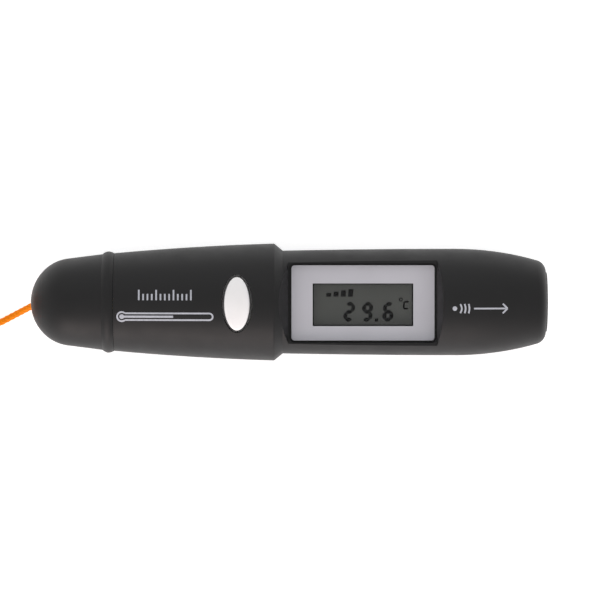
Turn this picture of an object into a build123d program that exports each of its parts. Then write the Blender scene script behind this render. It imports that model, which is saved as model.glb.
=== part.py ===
"""Pen-type infrared thermometer. X runs along the instrument to its nose, Z up through the display."""

import os
from math import cos, pi, radians, sin, tan

from build123d import *

os.makedirs("parts", exist_ok=True)

# ---------------------------------------------------------------- driving dimensions (mm)
AXIS_Z = 7.6  # height of the body's long axis over the flat underside
GAP = 0.05  # play of fitted pieces, on each side

# Body: half outline as distance along X and radius about the long axis
BODY_TAIL_X, BODY_TAIL_R = -27.7, 7.77
GRIP_MID_X, GRIP_MID_R = -14.1, 8.79
GRIP_END_X, GRIP_END_R = -2.35, 9.30
NECK_X, NECK_R = -1.0, 8.18
WIDEST_X, WIDEST_R = 26.4, 8.46
NOSE_FACE_X, NOSE_EDGE_R = 40.75, 6.22
NOSE_FILLET = 1.9
GRIP_EDGE_FILLET = 0.35
WALL = 1.2
FLOOR = 1.0  # thickness of the flat underside
NOSE_WALL = 3.2
PARTING_GAP = 0.08
LIP_HEIGHT = 0.7
LIP_INSET = 0.65
LIP_END_X = 36.5

# Tail cap
CAP_TIP_X = -41.0
CAP_SHOULDER = (-39.0, 4.97)
CAP_TAPER_START = (-35.2, 6.90)
BEAD_START_X, BEAD_START_R = -29.6, 7.61
BEAD_TOP_X, BEAD_TOP_R = -28.8, 8.03
CAP_RIM_X, CAP_RIM_R = -27.75, 7.76
CAP_WALL = 1.15
CAP_BORE_END_X = -31.7
CAP_GROOVES = ((-35.6, -32.2, 6.3), (-32.4, CAP_RIM_X, 6.74))  # start, end and radius of each step
CORD_HOLE_R = 0.75

# Flat recess with the window
FACET_Z = AXIS_Z + 5.1
FACET_START_X, FACET_END_X = -0.08, 23.37
FACET_START_LEAN, FACET_END_LEAN = 23, 16  # degrees from upright
WINDOW_X = 11.7
WINDOW_LENGTH, WINDOW_WIDTH, WINDOW_CORNER = 22.6, 11.9, 0.5
WINDOW_MOAT = 0.35
LENS_THICKNESS, LENS_DROP = 1.0, 0.1
BORDER_THICKNESS, TAPE_THICKNESS = 0.05, 0.14
BORDER_GAP = 0.01  # between the lens and its border
DECK_THICKNESS = 0.8
DECK_OPENING = (19.0, 9.4)
APERTURE, APERTURE_Y = (15.9, 6.75), -0.3

# Display
BOARD_TOP = AXIS_Z + 0.5
BOARD_THICKNESS = 1.0
GLASS_LENGTH, FRONT_GLASS_WIDTH, REAR_GLASS_WIDTH = 20.0, 11.0, 7.6
GLASS_THICKNESS, FILM_THICKNESS = 0.55, 0.12
REAR_FILM_Z = BOARD_TOP + 0.98
LCD_FRAME = (22.4, 12.2, 2.3)
ZEBRA = (18.5, 1.2)

# Circuit board
BOARD_START_X, BOARD_END_X, BOARD_HALF_WIDTH = -19.8, 32.0, 6.4
SCREW_X = (-16.0, 27.3)
BOSS_R = 2.2
SCREW_SHANK_R, SCREW_HEAD_R, SCREW_HEAD_HEIGHT, SCREW_LENGTH = 0.95, 1.75, 1.2, 7.8
COUNTERBORE_DEPTH = 3.0

# Measure button and its switch
BUTTON_X = -8.17
BUTTON_SEMI = (2.01, 4.19)
BUTTON_PROUD = 0.35
BUTTON_MOAT = 0.38
FLANGE_SEMI, FLANGE_THICKNESS = (2.85, 5.0), 0.8
SWITCH_SIDE, SWITCH_HEIGHT = 6.0, 3.5
PLUNGER_R, PLUNGER_PROUD = 1.7, 0.8
PLUNGER_LENGTH = 1.65

# Battery compartment
CELL_R, CELL_HEIGHT = 5.8, 5.4
CELL_START_X = -33.2  # outer end of the pair of cells
BARREL_R, BARREL_BORE_R = 6.5, 5.85
BARREL_START_X, BARREL_END_X = -31.5, -21.0
BARREL_END_WALL = 0.8
COLLAR_R = 7.0
CONTACT_THICKNESS, CONTACT_WIDTH = 0.25, 2.0
CONTACT_DISC_X, CONTACT_DISC_R = -36.3, 4.4

# Nose
RING_FLANGE_R, RING_PROUD = 4.75, 0.15
RING_R, RING_BACK_X = 4.3, 37.6
CONE_FRONT_R, CONE_BACK_R = 3.7, 2.4
SENSOR_FRONT_X, SENSOR_CAN_R, SENSOR_CAN_LENGTH = 37.4, 2.35, 2.9
HEADER_R, HEADER_THICKNESS = 2.65, 0.4
SLEEVE_R, SLEEVE_START_X, SLEEVE_END_X = 4.0, 34.0, 37.5
LEAD_R, LEAD_OFFSET, LEAD_END_X = 0.225, 0.9, 30.1

# Lanyard
CORD_R = 0.55
CORD_EXIT_X, CORD_HEADING, CORD_DIP = -39.6, 28, 38  # degrees towards -Y, degrees downwards
KNOT_R = 1.1
HANK_FOLD_R, HANK_STRAIGHT = 3.4, 12.0  # innermost turn
HANK_TRACKS, HANK_LAYERS, TURN_PITCH = 2, 3, 1.12
TIE_THICKNESS, TIE_WIDTH = 0.2, 3.0
END_KNOT_OFFSET = (-5.2, -0.4)  # from the hank's centre, along X and Y

# ---------------------------------------------------------------- derived places
LONG_AXIS = Axis((0, 0, AXIS_Z), (1, 0, 0))
SECTION = Plane((0, 0, AXIS_Z), x_dir=(1, 0, 0), z_dir=(0, -1, 0))
PLAN = Plane.XY.offset(AXIS_Z)  # half outlines are drawn here, so that no seam runs along the top
BOARD_BOTTOM = BOARD_TOP - BOARD_THICKNESS
LENS_TOP = FACET_Z - LENS_DROP
LENS_BOTTOM = LENS_TOP - LENS_THICKNESS
BORDER_BOTTOM = LENS_BOTTOM - BORDER_GAP - BORDER_THICKNESS
LEDGE_Z = BORDER_BOTTOM - TAPE_THICKNESS
DECK_BOTTOM = LEDGE_Z - DECK_THICKNESS
REAR_GLASS_Z = REAR_FILM_Z + FILM_THICKNESS
FRONT_GLASS_Z = REAR_GLASS_Z + GLASS_THICKNESS
FRONT_FILM_Z = FRONT_GLASS_Z + GLASS_THICKNESS
SWITCH_TOP = BOARD_TOP + SWITCH_HEIGHT
FLANGE_Z = SWITCH_TOP + PLUNGER_PROUD
FLANGE_TOP = FLANGE_Z + FLANGE_THICKNESS
CELL_END_X = CELL_START_X + 2 * CELL_HEIGHT
BARREL_FLOOR_X = BARREL_END_X - BARREL_END_WALL
WELL_OUTSIDE = 12.0  # any length that reaches past the body's surface


def write(builder, name):
    """Label a finished piece and write it to its own file."""
    builder.part.label = name
    export_step(builder.part, f"parts/{name}.step")


def at_x(x):
    """Plane across the long axis at x, with its origin on the axis and its normal towards the nose."""
    return Plane((x, 0, AXIS_Z), x_dir=(0, 1, 0), z_dir=(1, 0, 0))


def body_outline(inset=0.0, nose_x=NOSE_FACE_X, fillets=False):
    """Half outline of the body, moved in by inset and ending at nose_x."""
    rim = (BODY_TAIL_X, BODY_TAIL_R - inset)
    grip_end = (GRIP_END_X, GRIP_END_R - inset)
    neck = (NECK_X, NECK_R - inset)
    widest = (WIDEST_X, WIDEST_R - inset)
    nose_edge = (nose_x, NOSE_EDGE_R - inset)
    with BuildSketch(PLAN) as outline:
        with BuildLine():
            ThreePointArc(rim, (GRIP_MID_X, GRIP_MID_R - inset), grip_end)
            Line(grip_end, neck)
            TangentArc(widest, neck, tangent=(-1, 0))
            TangentArc(widest, nose_edge, tangent=(1, 0))
            Polyline(nose_edge, (nose_x, 0), (BODY_TAIL_X, 0), rim)
        make_face()
        if fillets:
            fillet(outline.vertices().sort_by_distance(nose_edge)[0], NOSE_FILLET)
            fillet(outline.vertices().sort_by_distance(grip_end)[0], GRIP_EDGE_FILLET)
    return outline.sketch


def body_form():
    """The body's outer form as one solid, with its flat underside."""
    with BuildPart() as form:
        revolve(body_outline(fillets=True), axis=LONG_AXIS)
        split(bisect_by=Plane.XY, keep=Keep.TOP)
    return form.part


def body_cavity():
    """The hollow inside the two shells, with the underside and the window's deck left solid."""
    with BuildPart() as cavity:
        revolve(body_outline(WALL, NOSE_FACE_X - NOSE_WALL), axis=LONG_AXIS)
        split(bisect_by=Plane.XY.offset(FLOOR), keep=Keep.TOP)
        deck_length = FACET_END_X - FACET_START_X + 4 * WALL
        with Locations((WINDOW_X, 0, DECK_BOTTOM)):
            Box(
                deck_length,
                2 * WIDEST_R,
                WIDEST_R,
                align=(Align.CENTER, Align.CENTER, Align.MIN),
                mode=Mode.SUBTRACT,
            )
    return cavity.part


def lip_ring(outer_inset, inner_inset, top):
    """Ring that follows the wall's inner side, from just under the parting plane up to top."""
    length = LIP_END_X - BODY_TAIL_X
    with BuildPart() as ring:
        revolve(body_outline(outer_inset), axis=LONG_AXIS)
        revolve(body_outline(inner_inset), axis=LONG_AXIS, mode=Mode.SUBTRACT)
        with Locations((BODY_TAIL_X, 0, AXIS_Z - PARTING_GAP)):
            Box(
                length,
                3 * WIDEST_R,
                top + PARTING_GAP,
                align=(Align.MIN, Align.CENTER, Align.MIN),
                mode=Mode.INTERSECT,
            )
    return ring.part


def half_rib(x, bore_r, thickness, side):
    """Add a wall across the body with a round bore, above (side 1) or below (side -1) the parting."""
    with BuildSketch(at_x(x)) as rib:
        Circle(GRIP_END_R)
        Circle(bore_r, mode=Mode.SUBTRACT)
        with Locations((0, side * PARTING_GAP / 2)):
            Rectangle(
                4 * WIDEST_R,
                2 * WIDEST_R,
                align=(Align.CENTER, Align.MIN if side > 0 else Align.MAX),
                mode=Mode.INTERSECT,
            )
    extrude(rib.sketch, amount=thickness)


form = body_form()
cavity = body_cavity()

# ---------------------------------------------------------------- upper shell
with BuildPart() as upper_shell:
    add(form)
    split(bisect_by=Plane.XY.offset(AXIS_Z + PARTING_GAP / 2), keep=Keep.TOP)
    add(cavity, mode=Mode.SUBTRACT)

    # Guide collar of the button, screw bosses and ribs, trimmed by the outer form
    with BuildSketch(Plane.XY.offset(FLANGE_TOP + GAP)):
        with Locations((BUTTON_X, 0)):
            Ellipse(BUTTON_SEMI[0] + 1.05, BUTTON_SEMI[1] + 1.05)
    extrude(amount=WELL_OUTSIDE)
    with BuildSketch(Plane.XY.offset(BOARD_TOP + GAP)):
        with Locations(*[(x, 0) for x in SCREW_X]):
            Circle(BOSS_R)
    extrude(amount=WELL_OUTSIDE)
    half_rib(BARREL_FLOOR_X - 0.85, BARREL_R + GAP, 0.8, 1)
    half_rib(BARREL_END_X + GAP, BARREL_R - 1.0, 0.8, 1)
    half_rib(35.2, SLEEVE_R + GAP, 1.0, 1)
    add(form, mode=Mode.INTERSECT)

    # Flat recess with sloping end walls
    with BuildSketch(Plane.XZ):
        rise = GRIP_END_R - (FACET_Z - AXIS_Z) + 0.5
        with BuildLine():
            Polyline(
                (FACET_START_X, FACET_Z),
                (FACET_START_X - rise * tan(radians(FACET_START_LEAN)), FACET_Z + rise),
                (FACET_END_X + rise * tan(radians(FACET_END_LEAN)), FACET_Z + rise),
                (FACET_END_X, FACET_Z),
                close=True,
            )
        make_face()
    extrude(amount=GRIP_END_R, both=True, mode=Mode.SUBTRACT)

    # Window pocket, with a ledge round the opening over the display
    with BuildSketch(Plane.XY.offset(FACET_Z)):
        with Locations((WINDOW_X, 0)):
            RectangleRounded(
                WINDOW_LENGTH + 2 * WINDOW_MOAT,
                WINDOW_WIDTH + 2 * WINDOW_MOAT,
                WINDOW_CORNER + WINDOW_MOAT,
            )
    extrude(amount=LEDGE_Z - FACET_Z, mode=Mode.SUBTRACT)
    with BuildSketch(Plane.XY.offset(LEDGE_Z)):
        with Locations((WINDOW_X, 0)):
            RectangleRounded(*DECK_OPENING, 0.5)
    extrude(amount=-DECK_THICKNESS, mode=Mode.SUBTRACT)

    # Openings: button, screws, nose, the battery contact's passage and the lower shell's lip
    with BuildSketch(Plane.XY.offset(FLANGE_TOP)):
        with Locations((BUTTON_X, 0)):
            Ellipse(BUTTON_SEMI[0] + BUTTON_MOAT, BUTTON_SEMI[1] + BUTTON_MOAT)
    extrude(amount=WELL_OUTSIDE, mode=Mode.SUBTRACT)
    screw_tip = COUNTERBORE_DEPTH + SCREW_LENGTH
    with BuildSketch(Plane.XY.offset(BOARD_TOP)):
        with Locations(*[(x, 0) for x in SCREW_X]):
            Circle(SCREW_SHANK_R + GAP)
    extrude(amount=screw_tip - BOARD_TOP + 0.5, mode=Mode.SUBTRACT)
    with BuildSketch(at_x(RING_BACK_X - 1.0)):
        Circle(RING_R + GAP)
    extrude(amount=WELL_OUTSIDE, mode=Mode.SUBTRACT)
    with Locations((BARREL_END_X - 2.0, 0, AXIS_Z + BARREL_BORE_R)):
        Box(6.0, CONTACT_WIDTH + 0.6, 2.0, mode=Mode.SUBTRACT)
    add(lip_ring(LIP_INSET - GAP, WALL + GAP, LIP_HEIGHT + GAP), mode=Mode.SUBTRACT)
write(upper_shell, "upper_shell")

# ---------------------------------------------------------------- lower shell
LABEL_SIZE, LABEL_X, LABEL_THICKNESS, LABEL_RECESS = (30.0, 5.0), 5.5, 0.1, 0.15
with BuildPart() as lower_shell:
    add(form)
    split(bisect_by=Plane.XY.offset(AXIS_Z - PARTING_GAP / 2), keep=Keep.BOTTOM)
    add(cavity, mode=Mode.SUBTRACT)
    with BuildSketch(Plane.XY.offset(BOARD_BOTTOM - GAP)):
        with Locations(*[(x, 0) for x in SCREW_X]):
            Circle(BOSS_R + 0.5)
    extrude(amount=-BOARD_BOTTOM + 0.5)
    half_rib(BARREL_FLOOR_X - 0.85, BARREL_R + GAP, 0.8, -1)
    half_rib(35.2, SLEEVE_R + GAP, 1.0, -1)
    add(form, mode=Mode.INTERSECT)
    add(lip_ring(LIP_INSET, WALL, LIP_HEIGHT))
    with BuildSketch(at_x(RING_BACK_X - 1.0)):
        Circle(RING_R + GAP)
    extrude(amount=WELL_OUTSIDE, mode=Mode.SUBTRACT)
    with Locations(*[Plane((x, 0, 0), z_dir=(0, 0, -1)) for x in SCREW_X]):
        CounterBoreHole(
            SCREW_SHANK_R + 2 * GAP,
            SCREW_HEAD_R + 0.15,
            COUNTERBORE_DEPTH,
            BOARD_TOP,
        )
    with BuildSketch(Plane.XY):
        with Locations((LABEL_X, 0)):
            RectangleRounded(LABEL_SIZE[0] + 0.3, LABEL_SIZE[1] + 0.3, 0.6)
    extrude(amount=LABEL_RECESS, mode=Mode.SUBTRACT)
write(lower_shell, "lower_shell")

with BuildPart() as rear_label:
    with BuildSketch(Plane.XY.offset(LABEL_RECESS - LABEL_THICKNESS)):
        with Locations((LABEL_X, 0)):
            RectangleRounded(*LABEL_SIZE, 0.5)
    extrude(amount=LABEL_THICKNESS)
write(rear_label, "rear_label")

with BuildPart() as case_screws:
    with BuildSketch(Plane.XY.offset(COUNTERBORE_DEPTH - SCREW_HEAD_HEIGHT)):
        with Locations(*[(x, 0) for x in SCREW_X]):
            Circle(SCREW_HEAD_R)
    extrude(amount=SCREW_HEAD_HEIGHT)
    fillet(case_screws.faces().group_by(Axis.Z)[0].edges(), 0.4)
    with BuildSketch(Plane.XY.offset(COUNTERBORE_DEPTH)):
        with Locations(*[(x, 0) for x in SCREW_X]):
            Circle(SCREW_SHANK_R)
    extrude(amount=SCREW_LENGTH)
    chamfer(case_screws.faces().group_by(Axis.Z)[-1].edges(), 0.5)
    with BuildSketch(Plane.XY.offset(COUNTERBORE_DEPTH - SCREW_HEAD_HEIGHT)):
        with Locations(*[(x, 0) for x in SCREW_X]):
            Rectangle(2.0, 0.45)
            Rectangle(0.45, 2.0)
    extrude(amount=0.7, mode=Mode.SUBTRACT)
write(case_screws, "case_screws")

# ---------------------------------------------------------------- window
with BuildPart() as window_lens:
    with BuildSketch(Plane.XY.offset(LENS_BOTTOM)):
        with Locations((WINDOW_X, 0)):
            RectangleRounded(WINDOW_LENGTH, WINDOW_WIDTH, WINDOW_CORNER)
    extrude(amount=LENS_THICKNESS)
    fillet(window_lens.faces().sort_by(Axis.Z)[-1].edges(), 0.15)
write(window_lens, "window_lens")

with BuildPart() as window_border:
    with BuildSketch(Plane.XY.offset(BORDER_BOTTOM)):
        with Locations((WINDOW_X, 0)):
            RectangleRounded(WINDOW_LENGTH, WINDOW_WIDTH, WINDOW_CORNER)
        with Locations((WINDOW_X, APERTURE_Y)):
            Rectangle(*APERTURE, mode=Mode.SUBTRACT)
    extrude(amount=BORDER_THICKNESS)
write(window_border, "window_border")

with BuildPart() as window_tape:
    with BuildSketch(Plane.XY.offset(LEDGE_Z)):
        with Locations((WINDOW_X, 0)):
            RectangleRounded(WINDOW_LENGTH - 0.4, WINDOW_WIDTH - 0.4, WINDOW_CORNER)
            Rectangle(DECK_OPENING[0] + 0.4, DECK_OPENING[1] + 0.4, mode=Mode.SUBTRACT)
    extrude(amount=TAPE_THICKNESS)
write(window_tape, "window_tape")


# ---------------------------------------------------------------- display
def display_layer(width, thickness, bottom, name, length=GLASS_LENGTH):
    """Write one flat layer of the display, centred under the window."""
    with BuildPart() as layer:
        with Locations((WINDOW_X, 0, bottom)):
            Box(length, width, thickness, align=(Align.CENTER, Align.CENTER, Align.MIN))
    write(layer, name)


display_layer(FRONT_GLASS_WIDTH, GLASS_THICKNESS, FRONT_GLASS_Z, "lcd_glass_front")
display_layer(REAR_GLASS_WIDTH, GLASS_THICKNESS, REAR_GLASS_Z, "lcd_glass_rear")
display_layer(9.6, FILM_THICKNESS, FRONT_FILM_Z, "lcd_polariser", GLASS_LENGTH - 0.6)
display_layer(7.2, FILM_THICKNESS, REAR_FILM_Z, "lcd_reflector", GLASS_LENGTH - 0.6)

with BuildPart() as lcd_frame:
    with BuildSketch(Plane.XY.offset(BOARD_TOP)):
        with Locations((WINDOW_X, 0)):
            RectangleRounded(LCD_FRAME[0], LCD_FRAME[1], 0.5)
            Rectangle(GLASS_LENGTH + 0.2, FRONT_GLASS_WIDTH + 0.2, mode=Mode.SUBTRACT)
    extrude(amount=LCD_FRAME[2])
    with BuildSketch(Plane.XY.offset(BOARD_TOP)):
        with Locations((WINDOW_X, 0)):
            Rectangle(GLASS_LENGTH + 0.2, REAR_GLASS_WIDTH)
    extrude(amount=REAR_FILM_Z - BOARD_TOP)
write(lcd_frame, "lcd_frame")

with BuildPart() as zebra_strips:
    zebra_y = (REAR_GLASS_WIDTH + FRONT_GLASS_WIDTH) / 4 + 0.05
    with BuildSketch(Plane.XY.offset(BOARD_TOP)):
        with Locations((WINDOW_X, zebra_y), (WINDOW_X, -zebra_y)):
            Rectangle(*ZEBRA)
    extrude(amount=FRONT_GLASS_Z - BOARD_TOP)
write(zebra_strips, "zebra_strips")

# ---------------------------------------------------------------- circuit board
with BuildPart() as main_board:
    with BuildSketch(Plane.XY.offset(BOARD_BOTTOM)):
        with Locations(((BOARD_START_X + BOARD_END_X) / 2, 0)):
            board = Rectangle(BOARD_END_X - BOARD_START_X, 2 * BOARD_HALF_WIDTH)
        chamfer(board.vertices(), 1.0)
        with Locations(*[(x, 0) for x in SCREW_X]):
            Circle(SCREW_SHANK_R + 0.25, mode=Mode.SUBTRACT)
    extrude(amount=BOARD_THICKNESS)
write(main_board, "main_board")

BLOB_X, BLOB_R, BLOB_HEIGHT, BLOB_ROUNDING = 8.5, 4.2, 1.3, 1.2
with BuildPart() as controller_blob:
    with BuildSketch(Plane.XY.offset(BOARD_BOTTOM)):
        with Locations((BLOB_X, 0)):
            Circle(BLOB_R)
    extrude(amount=-BLOB_HEIGHT)
    fillet(controller_blob.faces().sort_by(Axis.Z)[0].edges(), BLOB_ROUNDING)
write(controller_blob, "controller_blob")

CHIP_X, CHIP_LIFT, CHIP_BODY = -7.0, 0.15, (4.9, 3.9, 1.4)
LEG_PITCH, LEG_ROWS, LEG, LEG_THICKNESS = 1.27, 5.2, (0.42, 1.5), 0.3
with BuildPart() as amplifier_chip:
    with Locations((CHIP_X, 0, BOARD_BOTTOM - CHIP_LIFT)):
        Box(*CHIP_BODY, align=(Align.CENTER, Align.CENTER, Align.MAX))
    chamfer(amplifier_chip.faces().sort_by(Axis.Z)[0].edges(), 0.2)
    with BuildSketch(Plane.XY.offset(BOARD_BOTTOM)):
        with Locations((CHIP_X, 0)):
            with GridLocations(LEG_PITCH, LEG_ROWS, 4, 2):
                Rectangle(*LEG)
    extrude(amount=-LEG_THICKNESS)
write(amplifier_chip, "amplifier_chip")

CHIP_ROWS = ((0.0, 3.9), (-13.5, -4.2), (16.5, 3.6))  # centres of the rows of small chips
RESISTOR, RESISTOR_HEIGHT, RESISTOR_PITCH = (0.8, 1.6), 0.45, 1.5
CAPACITOR, CAPACITOR_HEIGHT, CAPACITOR_PITCH = (0.85, 1.6), 0.8, 1.8
with BuildPart() as chip_resistors:
    with BuildSketch(Plane.XY.offset(BOARD_BOTTOM)):
        for row_x, row_y in CHIP_ROWS:
            with Locations((row_x, row_y)):
                with GridLocations(RESISTOR_PITCH, 0, 3, 1):
                    Rectangle(*RESISTOR)
    extrude(amount=-RESISTOR_HEIGHT)
write(chip_resistors, "chip_resistors")

with BuildPart() as chip_capacitors:
    with BuildSketch(Plane.XY.offset(BOARD_BOTTOM)):
        for row_x, row_y in CHIP_ROWS:
            with Locations((row_x, -row_y)):
                with GridLocations(CAPACITOR_PITCH, 0, 2, 1):
                    Rectangle(*CAPACITOR)
    extrude(amount=-CAPACITOR_HEIGHT)
write(chip_capacitors, "chip_capacitors")

CRYSTAL_X, CRYSTAL_R, CRYSTAL_HALF_LENGTH = 20.5, 1.0, 3.0
with BuildPart() as crystal:
    with BuildSketch(Plane((CRYSTAL_X, 0, BOARD_BOTTOM - CRYSTAL_R), x_dir=(1, 0, 0), z_dir=(0, 1, 0))):
        Circle(CRYSTAL_R)
    extrude(amount=CRYSTAL_HALF_LENGTH, both=True)
    fillet(crystal.faces().sort_by(Axis.Y)[-1].edges(), 0.3)
write(crystal, "crystal")

# ---------------------------------------------------------------- measure button and switch
with BuildPart() as button_cap:
    with BuildSketch(Plane.XY.offset(FLANGE_Z)):
        with Locations((BUTTON_X, 0)):
            Ellipse(*BUTTON_SEMI)
    extrude(amount=WELL_OUTSIDE)
    revolve(body_outline(-BUTTON_PROUD), axis=LONG_AXIS, mode=Mode.INTERSECT)
    fillet(button_cap.faces().sort_by(Axis.Z)[-1].edges(), 0.4)
    with BuildSketch(Plane.XY.offset(FLANGE_Z)):
        with Locations((BUTTON_X, 0)):
            Ellipse(*FLANGE_SEMI)
    extrude(amount=FLANGE_THICKNESS)
write(button_cap, "button_cap")

DOME_Z = SWITCH_TOP + PLUNGER_PROUD - PLUNGER_LENGTH - 0.5
with BuildPart() as switch_body:
    with Locations((BUTTON_X, 0, BOARD_TOP)):
        Box(
            SWITCH_SIDE,
            SWITCH_SIDE,
            SWITCH_HEIGHT,
            align=(Align.CENTER, Align.CENTER, Align.MIN),
        )
    chamfer(switch_body.edges().filter_by(Axis.Z), 0.4)
    with BuildSketch(Plane.XY.offset(SWITCH_TOP)):
        with Locations((BUTTON_X, 0)):
            Circle(PLUNGER_R + GAP)
    extrude(amount=DOME_Z - SWITCH_TOP, mode=Mode.SUBTRACT)
write(switch_body, "switch_body")

with BuildPart() as switch_plunger:
    with BuildSketch(Plane.XY.offset(FLANGE_Z)):
        with Locations((BUTTON_X, 0)):
            Circle(PLUNGER_R)
    extrude(amount=-PLUNGER_LENGTH)
write(switch_plunger, "switch_plunger")

with BuildPart() as switch_dome:
    with BuildSketch(Plane.XY.offset(DOME_Z)):
        with Locations((BUTTON_X, 0)):
            Circle(PLUNGER_R - 0.1)
    extrude(amount=0.15)
    chamfer(switch_dome.faces().sort_by(Axis.Z)[-1].edges(), 0.1)
write(switch_dome, "switch_dome")

with BuildPart() as switch_terminals:
    with BuildSketch(Plane.XY.offset(BOARD_TOP)):
        with Locations((BUTTON_X, 0)):
            with GridLocations(4.5, SWITCH_SIDE + 1.2, 2, 2):
                Rectangle(0.7, 1.2)
    extrude(amount=0.25)
write(switch_terminals, "switch_terminals")

# ---------------------------------------------------------------- battery compartment
with BuildPart() as battery_barrel:
    with BuildSketch(at_x(BARREL_START_X)):
        Circle(BARREL_R)
        Circle(BARREL_BORE_R, mode=Mode.SUBTRACT)
    extrude(amount=BARREL_FLOOR_X - BARREL_START_X)
    with BuildSketch(at_x(BARREL_FLOOR_X)):
        Circle(COLLAR_R)
    extrude(amount=BARREL_END_WALL)
    split(bisect_by=Plane.XY.offset(FLOOR + GAP), keep=Keep.TOP)
    # Groove for the side contact along the top, and a slot for the positive contact's leg
    groove_z = AXIS_Z + BARREL_R - 0.4
    with Locations((BARREL_START_X, 0, groove_z)):
        Box(
            BARREL_END_X - BARREL_START_X + 1,
            CONTACT_WIDTH + 2 * GAP,
            2.0,
            align=(Align.MIN, Align.CENTER, Align.MIN),
            mode=Mode.SUBTRACT,
        )
    with Locations((BARREL_FLOOR_X, 0, BOARD_BOTTOM)):
        Box(
            3.0,
            CONTACT_WIDTH + 2 * GAP,
            CONTACT_THICKNESS + 2 * GAP,
            align=(Align.CENTER, Align.CENTER, Align.MAX),
            mode=Mode.SUBTRACT,
        )
write(battery_barrel, "battery_barrel")


def button_cell(start_x, name):
    """Write one cell: a can with its flat positive face towards the nose."""
    negative_r = CELL_R - 0.9
    with BuildPart() as cell:
        with BuildSketch(at_x(start_x)):
            Circle(negative_r)
        extrude(amount=0.3)
        with BuildSketch(at_x(start_x + 0.3)):
            Circle(CELL_R)
        extrude(amount=CELL_HEIGHT - 0.3)
        rims = cell.edges().filter_by(GeomType.CIRCLE).sort_by(SortBy.RADIUS)[-2:]
        fillet(rims, 0.25)
    write(cell, name)


button_cell(CELL_START_X + CELL_HEIGHT, "battery_cell_1")
button_cell(CELL_START_X, "battery_cell_2")

with BuildPart() as positive_contact:
    with BuildSketch(at_x(BARREL_FLOOR_X - CONTACT_THICKNESS)):
        RectangleRounded(6.0, 6.0, 0.8)
    extrude(amount=CONTACT_THICKNESS)
    with BuildSketch(at_x(CELL_END_X)):
        Circle(1.2)
    extrude(amount=BARREL_FLOOR_X - CELL_END_X)
    with Locations((BARREL_FLOOR_X - CONTACT_THICKNESS, 0, BOARD_BOTTOM - GAP)):
        Box(
            3.0,
            CONTACT_WIDTH,
            CONTACT_THICKNESS,
            align=(Align.MIN, Align.CENTER, Align.MAX),
        )
write(positive_contact, "positive_contact")


def strip(points, thickness, width):
    """Add a bent metal strip whose middle line runs through points, given as X and height over the axis."""
    with BuildSketch(SECTION) as side_view:
        with BuildLine():
            Polyline(*points)
        trace(line_width=thickness)
    extrude(side_view.sketch, amount=width / 2, both=True)


SIDE_STRIP_R = BARREL_R - 0.1 - CONTACT_THICKNESS / 2
BOARD_STRIP_R = BOARD_TOP - AXIS_Z + CONTACT_THICKNESS / 2
with BuildPart() as side_contact:
    strip(
        (
            (BARREL_START_X + 0.2, SIDE_STRIP_R),
            (BOARD_START_X - 0.2, SIDE_STRIP_R),
            (BOARD_START_X - 0.2, BOARD_STRIP_R),
            (BOARD_START_X + 1.3, BOARD_STRIP_R),
        ),
        CONTACT_THICKNESS,
        CONTACT_WIDTH,
    )
write(side_contact, "side_contact")

CAP_STRIP_R = BARREL_R - 0.1 + 0.03 + CONTACT_THICKNESS / 2
CAP_STRIP = (
    (CONTACT_DISC_X + 0.15, CONTACT_DISC_R - 0.2),
    (-35.0, 6.02),
    (-32.3, 6.12),
    (CAP_BORE_END_X, CAP_STRIP_R),
    (-29.6, CAP_STRIP_R),
)
with BuildPart() as cap_contact:
    with BuildSketch(at_x(CONTACT_DISC_X)):
        Circle(CONTACT_DISC_R)
    extrude(amount=0.3)
    strip(CAP_STRIP, CONTACT_THICKNESS, CONTACT_WIDTH)
write(cap_contact, "cap_contact")

SPRING_WIRE_R, SPRING_TURNS, SPRING_R = 0.2, 3, 3.2
with BuildPart() as battery_spring:
    spring_start = CONTACT_DISC_X + 0.3 + SPRING_WIRE_R + GAP
    spring_height = CELL_START_X - SPRING_WIRE_R - GAP - spring_start
    with BuildLine():
        coil = Helix(
            spring_height / SPRING_TURNS,
            spring_height,
            SPRING_R,
            center=(spring_start, 0, AXIS_Z),
            direction=(1, 0, 0),
            cone_angle=-18,
        )
    with BuildSketch(Plane(coil @ 0, z_dir=coil % 0)):
        Circle(SPRING_WIRE_R)
    sweep(is_frenet=True)
write(battery_spring, "battery_spring")

# ---------------------------------------------------------------- lanyard route
exit_r = 4.26  # radius of the cap's surface at the cord's exit
cord_direction = Vector(
    -cos(radians(CORD_HEADING)) * cos(radians(CORD_DIP)),
    -sin(radians(CORD_HEADING)) * cos(radians(CORD_DIP)),
    -sin(radians(CORD_DIP)),
)
cord_exit = Vector(CORD_EXIT_X, 0, AXIS_Z - exit_r)
knot_centre = cord_exit - cord_direction * 2.75
cord_route = [
    cord_exit - cord_direction * 1.65,
    Vector(-42.6, -1.595, 0.80),
    Vector(-47.85, -4.38, 0.62),
    Vector(-51.6, -5.20, 0.70),
    Vector(-55.4, -5.20, 0.75),
]

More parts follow.
